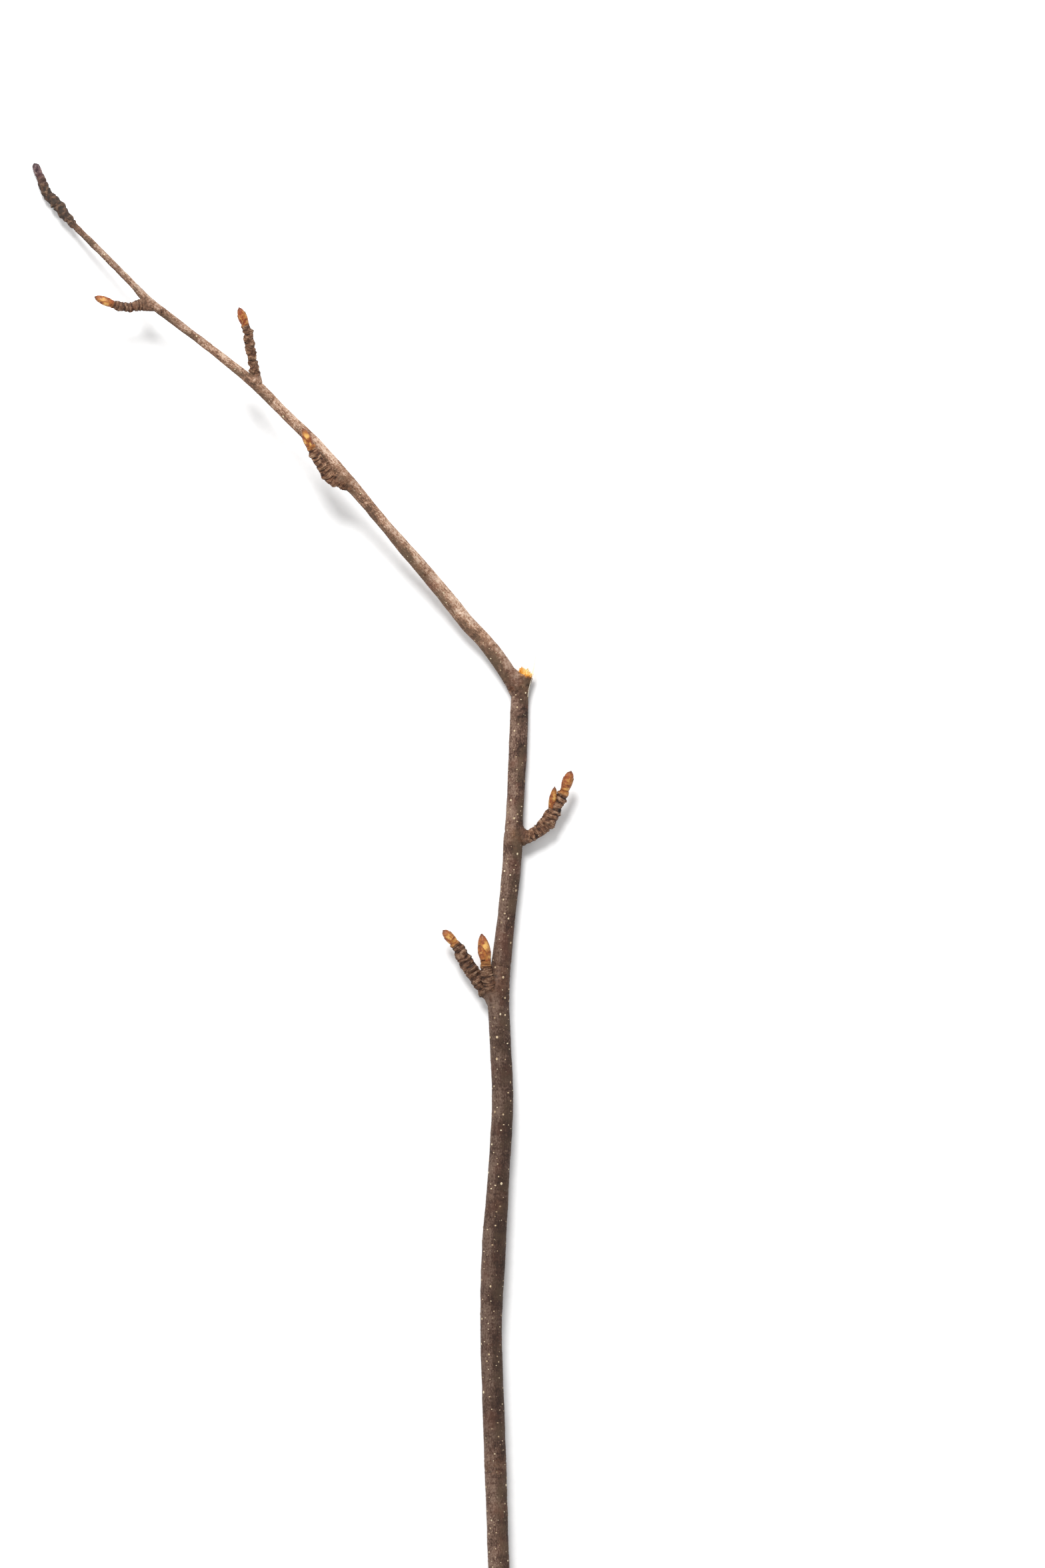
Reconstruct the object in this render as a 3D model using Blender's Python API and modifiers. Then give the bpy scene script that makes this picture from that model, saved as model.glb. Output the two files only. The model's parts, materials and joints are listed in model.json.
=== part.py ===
"""A forked birch branch, cut from its tree and laid down on a flat surface.

Lengths are metres and +Z is up. The branch lies along Y: its cut end is at low Y, its fork and side shoot are at
high Y. The origin is on the surface that it rests on, under the middle of the branch's box. The stations below
are millimetres from the fork, the place where the side shoot leaves the main stem.
"""

import math

import bmesh
import bpy
from mathutils import Vector

MM = 0.001
FORK = Vector((0.0718, 0.1341, 0.0))  # from the middle of the branch's box to the fork
GAP = 0.3  # mm kept between pieces that touch
STEM_STEP = 6.5  # mm between the rings of a smooth stem
MERGE = 0.00001  # m, for the caps of a tube

# Main stem from its snapped top to its cut end: x, y, clearance under the stem, diameter
MAIN_STEM = (
    (2.0, 1.4, 0.3, 6.6),
    (1.3, -2.0, 0.1, 6.9),
    (0.6, -6.5, -0.15, 6.2),
    (0.2, -20.4, -0.15, 6.1),
    (-1.1, -45.6, 0.6, 5.7),
    (-1.5, -53.0, 0.8, 6.4),
    (-2.2, -64.0, 1.0, 6.2),
    (-4.4, -84.9, 1.5, 6.0),
    (-6.4, -104.2, 1.9, 7.2),
    (-6.0, -118.0, 2.1, 7.0),
    (-5.1, -140.4, 2.4, 7.1),
    (-6.4, -164.9, 2.6, 7.2),
    (-8.2, -193.8, 2.8, 8.0),
    (-8.9, -217.6, 2.9, 7.1),
    (-7.9, -250.0, 2.8, 7.3),
    (-6.6, -290.0, 2.3, 7.1),
    (-5.6, -330.0, 1.4, 7.4),
    (-6.2, -365.0, 0.4, 7.6),
    (-7.5, -392.0, -0.2, 7.8),
    (-9.5, -440.0, -0.2, 8.1),
)
WOOD_HEIGHT = 2.1  # mm that the broken wood stands above the bark's rim
WOOD_DIAMETER = 4.7
WOOD_TEETH = (0.2, 1.3, 0.5, 1.6, 0.1, 0.9, 0.4, 1.9, 0.3, 1.1)  # mm, the broken wood's uneven top, around it
CUT_SLOPE = 0.45  # rise of the oblique cut at the lower end

# Side shoot from inside the fork to its tip: x, y, height of its middle, diameter
SIDE_SHOOT = (
    (0.5, -3.6, 3.2, 5.4),
    (-5.6, 5.3, 3.9, 5.6),
    (-10.9, 12.2, 4.6, 5.2),
    (-16.9, 18.6, 5.8, 5.1),
    (-23.3, 26.6, 7.3, 5.0),
    (-32.2, 37.2, 9.8, 4.9),
    (-39.1, 45.3, 11.8, 4.8),
    (-45.1, 52.7, 13.3, 4.7),
    (-53.3, 62.2, 15.0, 4.6),
    (-58.0, 67.2, 15.8, 4.7),
    (-67.6, 78.4, 17.3, 4.0),
    (-76.7, 87.3, 18.3, 3.5),
    (-86.6, 96.8, 18.9, 3.6),
    (-97.1, 105.8, 18.6, 2.8),
    (-112.7, 118.0, 16.6, 2.6),
    (-122.9, 125.1, 14.3, 3.0),
    (-136.4, 139.0, 9.6, 2.4),
    (-148.4, 151.6, 5.2, 2.5),
)
# Ring-scarred end of the side shoot, which rests on the surface
SHOOT_END = (
    (-149.4, 152.6, 4.9, 2.7),
    (-151.8, 155.2, 4.2, 3.5),
    (-153.9, 158.3, 3.3, 3.6),
    (-157.3, 161.7, 2.1, 3.3),
    (-158.5, 165.2, 1.5, 3.1),
    (-160.0, 168.8, 1.3, 2.6),
)
SHOOT_END_RINGS = 1.9  # mm between its rings

# Short shoots. Stations: x, y, height of the middle, diameter. Rings: spacing and depth of the scars
SPURS = {
    "near_tip_spur": {
        "grows_from": ("side_shoot",),
        "rings": (1.7, 0.22),
        "stations": (
            (-122.6, 124.9, 14.3, 3.0),
            (-124.6, 124.8, 14.5, 3.3),
            (-126.9, 124.4, 14.8, 3.0),
            (-129.9, 123.8, 15.1, 2.8),
            (-132.4, 123.8, 15.3, 2.6),
            (-135.4, 124.6, 15.4, 2.3),
            (-136.6, 125.2, 15.4, 2.2),
        ),
    },
    "upright_spur": {
        "grows_from": ("side_shoot",),
        "rings": (2.1, 0.36),
        "stations": (
            (-86.4, 96.9, 18.9, 3.4),
            (-86.9, 99.4, 19.5, 4.0),
            (-87.8, 103.4, 20.6, 3.2),
            (-88.4, 106.9, 21.7, 3.2),
            (-89.3, 110.3, 22.7, 3.3),
            (-89.5, 113.8, 23.7, 3.1),
            (-90.3, 116.6, 24.5, 2.8),
            (-90.8, 118.1, 24.9, 2.4),
        ),
    },
    "leaning_spur": {
        "grows_from": ("side_shoot",),
        "rings": (1.8, 0.30),
        "stations": (
            (-58.4, 66.0, 15.8, 4.2),
            (-61.2, 65.9, 17.0, 4.8),
            (-63.2, 67.4, 18.0, 4.1),
            (-65.2, 70.7, 19.3, 3.9),
            (-67.3, 74.2, 20.7, 3.4),
            (-68.8, 76.7, 21.5, 2.9),
            (-69.4, 77.7, 21.8, 2.6),
        ),
    },
    "knobbed_spur": {
        "grows_from": ("main_stem",),
        "rings": (2.0, 0.30),
        "stations": (
            (-0.4, -53.6, 3.9, 4.0),
            (3.4, -52.6, 4.1, 4.4),
            (6.2, -51.2, 4.4, 4.0),
            (8.5, -49.4, 4.8, 4.6),
            (10.6, -46.9, 5.3, 5.2),
            (12.0, -44.2, 5.8, 4.5),
            (13.5, -41.6, 6.4, 3.8),
            (15.1, -38.4, 7.1, 3.4),
            (15.8, -36.6, 7.5, 2.9),
        ),
    },
    "tall_spur": {
        "grows_from": ("main_stem",),
        "rings": (1.7, 0.24),
        "stations": (
            (-7.0, -107.0, 5.6, 4.2),
            (-8.9, -103.2, 6.8, 4.8),
            (-10.2, -98.9, 7.9, 4.0),
            (-10.6, -95.4, 8.5, 3.6),
            (-10.8, -93.4, 8.8, 3.4),
        ),
    },
    "slanting_spur": {
        "grows_from": ("main_stem", "tall_spur"),
        "rings": (1.9, 0.30),
        "stations": (
            (-6.8, -106.6, 5.2, 4.0),
            (-11.1, -103.6, 4.9, 4.5),
            (-12.9, -101.1, 4.9, 4.0),
            (-15.4, -97.3, 5.2, 4.2),
            (-17.8, -93.9, 5.6, 4.3),
            (-19.7, -90.2, 6.1, 3.7),
            (-21.3, -87.9, 6.5, 3.1),
        ),
    },
}

# Buds: the spur whose end carries it, the bud's tip and its diameter
END_BUDS = {
    "near_tip_bud": ("near_tip_spur", (-141.0, 127.3, 15.6), 2.5),
    "upright_bud": ("upright_spur", (-92.8, 123.7, 26.3), 3.0),
    "leaning_bud": ("leaning_spur", (-71.5, 83.4, 23.2), 2.8),
    "knobbed_end_bud": ("knobbed_spur", (17.8, -30.6, 8.9), 3.4),
    "tall_bud": ("tall_spur", (-12.1, -84.8, 10.0), 4.1),
    "slanting_bud": ("slanting_spur", (-25.1, -83.7, 7.4), 3.3),
}
# The knobbed spur's second bud, which stands on its flank: base, tip and diameter
SIDE_BUD_BASE = (11.5, -42.4, 6.9)
SIDE_BUD_TIP = (11.7, -35.9, 8.4)
SIDE_BUD_DIAMETER = 2.7
TIP_BUD_TIP = (-161.6, 172.3, 1.6)
TIP_BUD_DIAMETER = 2.4

# A bud turned on its axis: radius and height as shares of the bud's, from its tip to its foot. The two steps are
# the edges of overlapping scales.
BUD_PROFILE = (
    (0.0, 1.0),
    (0.22, 0.91),
    (0.50, 0.76),
    (0.72, 0.60),
    (0.86, 0.59),
    (0.98, 0.45),
    (0.97, 0.33),
    (0.88, 0.20),
    (0.96, 0.19),
    (0.90, 0.10),
    (0.66, 0.0),
    (0.0, 0.0),
)
TIP_BUD_PROFILE = (
    (0.0, 1.0),
    (0.38, 0.92),
    (0.68, 0.74),
    (0.86, 0.50),
    (1.0, 0.46),
    (1.0, 0.22),
    (0.90, 0.0),
    (0.0, 0.0),
)
BUD_SIDES = 10

STEM_ROUND = 3  # bevel resolution: ten sides
SPUR_ROUND = 2  # bevel resolution: eight sides


def clear_scene():
    for thing in list(bpy.data.objects):
        bpy.data.objects.remove(thing, do_unlink=True)


def new_collection(name):
    collection = bpy.data.collections.new(name)
    bpy.context.scene.collection.children.link(collection)
    return collection


def material(name, colour, roughness):
    made = bpy.data.materials.new(name)
    made.use_nodes = True
    shader = made.node_tree.nodes["Principled BSDF"]
    shader.inputs["Base Color"].default_value = (*colour, 1.0)
    shader.inputs["Roughness"].default_value = roughness
    shader.inputs["Metallic"].default_value = 0.0
    return made


def resting_stations(stations):
    """Stations that give the clearance under the stem, with the height of its middle in its place."""
    return [(x, y, lift + width / 2, width) for x, y, lift, width in stations]


def smooth_path(stations, step):
    """Points on a smooth curve through the stations, about one step apart, each as its place and radius."""
    knots = [Vector((x, y, z, width / 2)) for x, y, z, width in stations]
    along = [0.0]
    for before, after in zip(knots, knots[1:]):
        along.append(along[-1] + (after - before).length)
    slopes = []
    for i in range(len(knots)):
        low, high = max(i - 1, 0), min(i + 1, len(knots) - 1)
        slopes.append((knots[high] - knots[low]) / (along[high] - along[low]))
    points = []
    for i in range(len(knots) - 1):
        span = along[i + 1] - along[i]
        count = max(1, round(span / step))
        for k in range(count):
            t = k / count
            points.append(
                knots[i] * (2 * t**3 - 3 * t**2 + 1)
                + slopes[i] * span * (t**3 - 2 * t**2 + t)
                + knots[i + 1] * (3 * t**2 - 2 * t**3)
                + slopes[i + 1] * span * (t**3 - t**2)
            )
    points.append(knots[-1])
    return [(point.xyz, point.w) for point in points]


def ringed_path(stations, spacing, depth):
    """A smooth path whose radius goes in at each bud-scale scar and out at each ridge between them."""
    points = smooth_path(stations, spacing / 2)
    ringed = []
    for i, (place, radius) in enumerate(points):
        ridge = depth * 0.6 if i % 2 else -depth * 0.4
        ringed.append((place, radius + ridge))
    return ringed


def tube(name, path, resolution, collection, extra=0.0):
    """A closed mesh tube along the path, made from a bevelled curve whose caps are then welded to its sides."""
    curve = bpy.data.curves.new(name, "CURVE")
    curve.dimensions = "3D"
    curve.bevel_depth = MM
    curve.bevel_resolution = resolution
    curve.use_fill_caps = True
    spline = curve.splines.new("POLY")
    spline.points.add(len(path) - 1)
    for point, (place, radius) in zip(spline.points, path):
        point.co = (*(place * MM), 1.0)
        point.radius = radius + extra
    guide = bpy.data.objects.new(name + "_curve", curve)
    collection.objects.link(guide)
    evaluated = guide.evaluated_get(bpy.context.evaluated_depsgraph_get())
    mesh = bpy.data.meshes.new_from_object(evaluated)
    mesh.name = name
    bpy.data.objects.remove(guide, do_unlink=True)
    shape = bmesh.new()
    shape.from_mesh(mesh)
    bmesh.ops.remove_doubles(shape, verts=shape.verts, dist=MERGE)
    bmesh.ops.recalc_face_normals(shape, faces=shape.faces)
    shape.to_mesh(mesh)
    shape.free()
    piece = bpy.data.objects.new(name, mesh)
    collection.objects.link(piece)
    return piece


def as_cutter(piece):
    piece.hide_render = True
    piece.display_type = "WIRE"
    return piece


def cut(piece, cutter):
    boolean = piece.modifiers.new("cut by " + cutter.name, "BOOLEAN")
    boolean.operation = "DIFFERENCE"
    boolean.solver = "EXACT"
    boolean.object = cutter


def end_cap(shape, place):
    """The flat face at one end of a tube, found by its middle."""
    return min(shape.faces, key=lambda face: (face.calc_center_median() - place * MM).length)


def break_top(piece, path):
    """Pulls the corners of the upper end up unevenly, as snapped wood stands."""
    shape = bmesh.new()
    shape.from_mesh(piece.data)
    top = end_cap(shape, path[0][0])
    outward = (path[0][0] - path[1][0]).normalized()
    for corner, tooth in zip(list(top.verts), WOOD_TEETH):
        corner.co += outward * tooth * MM
    bmesh.ops.poke(shape, faces=[top])
    shape.to_mesh(piece.data)
    shape.free()


def slope_cut_end(piece, path):
    """Leans the lower end's face, as a cut made at a slant."""
    shape = bmesh.new()
    shape.from_mesh(piece.data)
    end = end_cap(shape, path[-1][0])
    middle = end.calc_center_median()
    for corner in end.verts:
        corner.co.y += CUT_SLOPE * (corner.co.z - middle.z)
    shape.to_mesh(piece.data)
    shape.free()


def stem_path():
    """The main stem's path, with the broken wood's narrower core in front of the bark's rim."""
    path = smooth_path(resting_stations(MAIN_STEM), STEM_STEP)
    outward = (path[0][0] - path[1][0]).normalized()
    rim = path[0][0]
    core = [
        (rim + outward * WOOD_HEIGHT * 0.5, WOOD_DIAMETER / 2),
        (rim + outward * 0.1, WOOD_DIAMETER / 2 + 0.1),
    ]
    return core + path


def shoot_path():
    return smooth_path(SIDE_SHOOT, STEM_STEP * 0.9) + ringed_path(SHOOT_END, SHOOT_END_RINGS, 0.3)


def turned_bud(name, base, tip, width, profile, collection):
    """A bud turned from its profile, standing on its base and pointing to its tip."""
    axis = Vector(tip) - Vector(base)
    shape = bmesh.new()
    row = [shape.verts.new((r * width / 2 * MM, 0.0, h * axis.length * MM)) for r, h in profile]
    for upper, lower in zip(row, row[1:]):
        shape.edges.new((upper, lower))
    mesh = bpy.data.meshes.new(name)
    shape.to_mesh(mesh)
    shape.free()
    piece = bpy.data.objects.new(name, mesh)
    collection.objects.link(piece)
    screw = piece.modifiers.new("turn", "SCREW")
    screw.axis = "Z"
    screw.angle = math.tau
    screw.steps = BUD_SIDES
    screw.render_steps = BUD_SIDES
    screw.use_merge_vertices = True
    screw.merge_threshold = 0.00002
    piece.location = Vector(base) * MM
    piece.rotation_euler = axis.to_track_quat("Z", "Y").to_euler()
    return piece


def finish(piece, look):
    piece.data.materials.append(look)
    piece.data.shade_smooth()
    piece.data.set_sharp_from_angle(angle=math.radians(40))


def floor_slab(collection):
    """The space under the resting surface, which leaves small flat faces where the branch touches it."""
    bpy.ops.mesh.primitive_cube_add(size=1.0, location=(-0.07, -0.13, -0.01))
    slab = bpy.context.active_object
    slab.name = "floor_space"
    slab.scale = (0.4, 0.8, 0.02)
    for holder in list(slab.users_collection):
        holder.objects.unlink(slab)
    collection.objects.link(slab)
    return as_cutter(slab)


def build():
    clear_scene()
    branch = new_collection("birch_branch")
    cutters = new_collection("cutters")
    grey_bark = material("grey_bark", (0.17, 0.135, 0.115), 0.85)
    spur_bark = material("spur_bark", (0.15, 0.095, 0.062), 0.9)
    bud_scale = material("bud_scale", (0.50, 0.22, 0.06), 0.5)
    dark_scale = material("dark_scale", (0.045, 0.02, 0.022), 0.55)

    paths = {"main_stem": stem_path(), "side_shoot": shoot_path()}
    for name, spur in SPURS.items():
        paths[name] = ringed_path(spur["stations"], *spur["rings"])
    rounds = {name: SPUR_ROUND for name in paths}
    rounds["main_stem"] = STEM_ROUND

    slab = floor_slab(cutters)
    pieces = {name: tube(name, path, rounds[name], branch) for name, path in paths.items()}
    break_top(pieces["main_stem"], paths["main_stem"])
    slope_cut_end(pieces["main_stem"], paths["main_stem"])
    cut(pieces["main_stem"], slab)
    cut(pieces["side_shoot"], slab)

    grown = {"side_shoot": ("main_stem",)}
    grown.update({name: spur["grows_from"] for name, spur in SPURS.items()})
    hollows = {}
    for parent in sorted({parent for parents in grown.values() for parent in parents}):
        space = tube(parent + "_space", paths[parent], rounds[parent], cutters, extra=GAP)
        hollows[parent] = as_cutter(space)
    for name, parents in grown.items():
        for parent in parents:
            cut(pieces[name], hollows[parent])

    buds = {}
    for name, (spur, tip, width) in END_BUDS.items():
        end = paths[spur][-1][0]
        base = end + (Vector(tip) - end).normalized() * GAP * 1.4
        buds[name] = turned_bud(name, base, tip, width, BUD_PROFILE, branch)
    buds["knobbed_side_bud"] = turned_bud(
        "knobbed_side_bud", SIDE_BUD_BASE, SIDE_BUD_TIP, SIDE_BUD_DIAMETER, BUD_PROFILE, branch
    )
    spur_space = tube("knobbed_spur_space", paths["knobbed_spur"], SPUR_ROUND, cutters, extra=GAP)
    cut(buds["knobbed_side_bud"], as_cutter(spur_space))
    shoot_end = paths["side_shoot"][-1][0]
    tip_base = shoot_end + (Vector(TIP_BUD_TIP) - shoot_end).normalized() * GAP * 1.4
    buds["tip_bud"] = turned_bud("tip_bud", tip_base, TIP_BUD_TIP, TIP_BUD_DIAMETER, TIP_BUD_PROFILE, branch)

    for name, piece in pieces.items():
        finish(piece, grey_bark if name in ("main_stem", "side_shoot") else spur_bark)
    for name, piece in buds.items():
        finish(piece, dark_scale if name == "tip_bud" else bud_scale)

    fork = bpy.data.objects.new("fork", None)
    branch.objects.link(fork)
    fork.location = FORK
    for thing in [*branch.objects, *cutters.objects]:
        if thing is not fork:
            thing.parent = fork


build()
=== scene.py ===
"""The looks of a forked birch branch with a snapped top, a long side shoot, ringed spurs and winter buds."""

import json
import math
import random
from collections import namedtuple

import bmesh
import bpy
from mathutils import Matrix, Vector
from mathutils.kdtree import KDTree
from mathutils.noise import noise

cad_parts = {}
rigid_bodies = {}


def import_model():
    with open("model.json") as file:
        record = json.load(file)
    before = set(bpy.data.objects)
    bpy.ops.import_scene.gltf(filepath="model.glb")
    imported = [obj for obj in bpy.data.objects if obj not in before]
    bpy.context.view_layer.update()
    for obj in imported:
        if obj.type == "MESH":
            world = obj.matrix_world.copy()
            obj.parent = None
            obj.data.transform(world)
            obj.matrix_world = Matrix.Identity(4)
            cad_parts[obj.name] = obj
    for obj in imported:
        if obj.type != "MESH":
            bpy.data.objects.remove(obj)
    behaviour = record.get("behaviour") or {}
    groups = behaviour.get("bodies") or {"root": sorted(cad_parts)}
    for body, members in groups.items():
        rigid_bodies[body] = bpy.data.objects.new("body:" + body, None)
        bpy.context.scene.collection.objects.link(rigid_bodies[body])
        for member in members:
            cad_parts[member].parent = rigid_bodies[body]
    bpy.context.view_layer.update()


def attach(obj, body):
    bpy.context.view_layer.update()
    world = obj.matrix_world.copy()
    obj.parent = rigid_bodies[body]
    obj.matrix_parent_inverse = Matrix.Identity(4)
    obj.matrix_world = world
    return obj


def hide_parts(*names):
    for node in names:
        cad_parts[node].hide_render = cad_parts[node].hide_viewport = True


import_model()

# Main stem
# The thick stem, one piece of wood in thin grey-brown bark, from its snapped top to a slanting cut at its
# lower end. The bark is a grid rolled round the stem's own path and pushed in and out as the bark is.
MM = 0.001
FORK = Vector((71.8, 134.1, 0.0))  # mm, from the middle of the branch's box to its fork

# From the snapped top to the cut end, in mm from the fork: x, y, clearance under the stem, diameter
MAIN_STEM = (
    (2.2, 1.4, 0.5, 5.8),
    (1.25, -2.0, 0.3, 5.8),
    (0.6, -6.5, 0.0, 5.8),
    (0.2, -20.4, -0.15, 6.1),
    (-1.1, -45.6, 0.6, 5.7),
    (-1.5, -53.0, 0.8, 6.4),
    (-2.2, -64.0, 1.0, 6.2),
    (-4.4, -84.9, 1.5, 6.0),
    (-6.4, -104.2, 1.9, 7.2),
    (-6.0, -118.0, 2.1, 7.0),
    (-5.1, -140.4, 2.4, 7.1),
    (-6.4, -164.9, 2.6, 7.2),
    (-8.2, -193.8, 2.8, 8.0),
    (-8.9, -217.6, 2.9, 7.1),
    (-7.9, -250.0, 2.8, 7.3),
    (-6.6, -290.0, 2.3, 7.1),
    (-5.6, -330.0, 1.4, 7.4),
    (-6.2, -365.0, 0.4, 7.6),
    (-7.5, -392.0, -0.2, 7.8),
    (-9.5, -440.0, -0.2, 8.1),
)
# Where buds and shoots left rough rings: mm from the stem's top, half length, how rough
STEM_NODES = (
    (4.0, 4.5, 0.45),
    (54.5, 3.2, 0.65),
    (103.0, 6.5, 0.9),
    (176.0, 3.5, 0.4),
    (264.0, 4.5, 0.5),
    (352.0, 4.0, 0.5),
)
# Knots and small scars: mm from the fork, half width, and how far they stand out, in mm
KNOTS = (
    (-58.8, 64.2, 1.7, 0.6),
    (-60.9, 67.0, 0.8, 0.4),
    (-30.9, 34.6, 0.45, -0.3),
    (-118.6, 122.2, 0.8, 0.3),
    (-84.6, 100.6, 0.7, 0.5),
    (-2.2, -3.6, 1.1, -0.25),
)
# Grooves that run round the stem, mm from its top
STEM_RINGS = (3.8, 50.3, 52.4, 58.2, 97.8, 101.6, 107.4, 109.0, 173.6, 177.0, 262.5, 266.2, 350.4, 353.6)
GROOVE_HALF, GROOVE_DEPTH = 0.3, 0.14  # mm
STEM_STEP, STEM_SIDES = 0.38, 54  # mm between cross-sections, and corners round each
CUT_SLOPE = 0.45  # mm along the stem for each mm up
RIM_REACH = 7.0  # mm of bark that the slanting rims of the break and of the cut draw along
# Where the bark's colour changes on its way up, in metres along Y
# The first pair on the next line eases the stem's painted shade off near the cut end; the second is where
# that painted shade fades out going up.
LOW_SHADE_EASED, LOW_SHADE_FADES = (-0.15, -0.10), (0.0, 0.115)
BLOTCHED_FROM, BLOTCHED_TO = (0.114, 0.126), (0.140, 0.156)
SILVERY_FROM = (0.131, 0.150)
SHADED_FROM = (0.22, 0.275)
SOOTY_FROM = (0.272, 0.286)
MAROON_FROM = (0.298, 0.303)

Ring = namedtuple("Ring", "place radius along forward side up")
# What a spot of bark is, for its finish: how near the lip of a ring scar, which paints ringed bark paler on
# crests and darker in grooves as painted highlight and shade, in the dish or on the rim of a leaf scar (0.5
# for neither), how much ringed bark, and how much of the newest, orange bark
Marks = namedtuple("Marks", "lip scar ringed fresh")


def eased(value, low, high):
    share = min(max((value - low) / (high - low), 0.0), 1.0)
    return share * share * (3 - 2 * share)


def rings_along(stations, step):
    """Cross-sections about one step apart on a smooth curve through the stations, in mm from the origin."""
    knots = [Vector((x, y, z, width / 2)) for x, y, z, width in stations]
    reach = [0.0]
    for before, after in zip(knots, knots[1:]):
        reach.append(reach[-1] + (after - before).length)
    slopes = []
    for i in range(len(knots)):
        low, high = max(i - 1, 0), min(i + 1, len(knots) - 1)
        slopes.append((knots[high] - knots[low]) / (reach[high] - reach[low]))
    points = []
    for i in range(len(knots) - 1):
        span = reach[i + 1] - reach[i]
        count = max(1, round(span / step))
        for k in range(count):
            t = k / count
            points.append(
                knots[i] * (2 * t**3 - 3 * t**2 + 1)
                + slopes[i] * span * (t**3 - 2 * t**2 + t)
                + knots[i + 1] * (3 * t**2 - 2 * t**3)
                + slopes[i + 1] * span * (t**3 - t**2)
            )
    points.append(knots[-1])
    rings, along = [], 0.0
    for i, point in enumerate(points):
        before, after = points[max(i - 1, 0)], points[min(i + 1, len(points) - 1)]
        forward = (after - before).xyz.normalized()
        side = forward.cross(Vector((0, 0, 1))).normalized()
        along += (point - before).xyz.length
        rings.append(Ring(FORK + point.xyz, point.w, along, forward, side, side.cross(forward)))
    return rings


def outward_at(ring, angle):
    return ring.side * math.cos(angle) + ring.up * math.sin(angle)


def grain_at(ring, angle):
    """Where a spot would be if its shoot were straight: the bark's long and cross patterns follow this."""
    return Vector((math.cos(angle) * ring.radius, math.sin(angle) * ring.radius, ring.along))


def bark_relief(place, grain):
    """How far plain bark stands out or in, in mm: broad lumps, long furrows and short cross wrinkles."""
    lumps = noise(place * 0.21) * 0.12 + noise(place * 0.55) * 0.05
    furrows = noise(Vector((grain.x * 1.5, grain.y * 1.5, grain.z * 0.2))) * 0.05
    wrinkles = noise(Vector((grain.x * 0.6, grain.y * 0.6, grain.z * 1.9))) * 0.04
    return lumps + furrows + wrinkles


def cross_relief(place, grain):
    """How far old, ring-scarred bark stands out or in, in mm: fine lines across the shoot, and lumps."""
    lines = noise(Vector((grain.x * 0.45, grain.y * 0.45, grain.z * 2.6))) * 0.10
    return lines + noise(place * 0.9) * 0.10 + noise(place * 2.3) * 0.04


def roughness_at(nodes, ring):
    return max(rough * math.exp(-(((ring.along - middle) / half) ** 2)) for middle, half, rough in nodes)


def plain_bark(place, grain, rough):
    """Bark and its knots, without ring scars, lined across where rough: its height in mm, and its marks."""
    lines = cross_relief(place, grain)
    relief = bark_relief(place, grain) + lines * 1.4 * rough
    # The lip mark follows the cross lines, so raised bark is painted paler and low bark darker, as painted
    # highlight and shade; knots are marked darker.
    lip = 0.5 + lines * 2.0
    ringed = rough * (0.4 + 1.2 * max(0.0, noise(place * 0.5)))
    for x, y, half, stands in KNOTS:
        apart = math.hypot(place.x - FORK.x - x, place.y - FORK.y - y) / half
        if apart < 2.5:
            knot = math.exp(-(apart**2))
            crumbs = noise(place * 2.1)
            relief += knot * (stands + 0.9 * stands * noise(place * 1.3) + 0.5 * crumbs)
            lip -= knot * (0.25 + 0.9 * crumbs)
            ringed = max(ringed, eased(knot, 0.1, 0.6))
    return relief, Marks(lip, 0.5, min(ringed, 1.0), 0.0)


def bark_tube(name, rings, sides, skin):
    """A closed tube: a grid rolled round the rings, welded along its seam and drawn to a point at each end.

    skin gives the place of a spot of it, the spot's place in the bark's pattern, and its marks.
    """
    last = len(rings) - 1
    shape = bmesh.new()
    bmesh.ops.create_grid(shape, x_segments=sides, y_segments=last + 2, size=0.5)
    grain = shape.verts.layers.float_vector.new("grain")
    marks = shape.verts.layers.float_color.new("marks")
    ends = {}
    for row, ring in ((-1, rings[0]), (last + 1, rings[last])):
        ends[row] = sum((skin(ring, math.tau * k / sides)[0] for k in range(sides)), Vector()) / sides
    for corner in shape.verts:
        turn = round((corner.co.x + 0.5) * sides) % sides
        row = round((corner.co.y + 0.5) * (last + 2)) - 1
        ring = rings[min(max(row, 0), last)]
        angle = math.tau * turn / sides
        place, pattern, mark = skin(ring, angle)
        corner.co = ends.get(row, place) * MM
        corner[grain] = pattern * MM
        corner[marks] = mark
    bmesh.ops.remove_doubles(shape, verts=shape.verts, dist=1e-7)
    bmesh.ops.recalc_face_normals(shape, faces=shape.faces)
    return finished(name, shape, birch_bark)


def finished(name, shape, material):
    """The bmesh as a smooth object of the scene, at the origin."""
    mesh = bpy.data.meshes.new(name)
    shape.to_mesh(mesh)
    shape.free()
    mesh.shade_smooth()
    mesh.materials.append(material)
    piece = bpy.data.objects.new(name, mesh)
    bpy.context.scene.collection.objects.link(piece)
    return piece


def paint(code):
    """A colour written as on a screen, as the linear values that shaders take."""
    parts = [int(code[i : i + 2], 16) / 255 for i in (1, 3, 5)]
    return (*[p / 12.92 if p < 0.04045 else ((p + 0.055) / 1.055) ** 2.4 for p in parts], 1.0)


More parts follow.
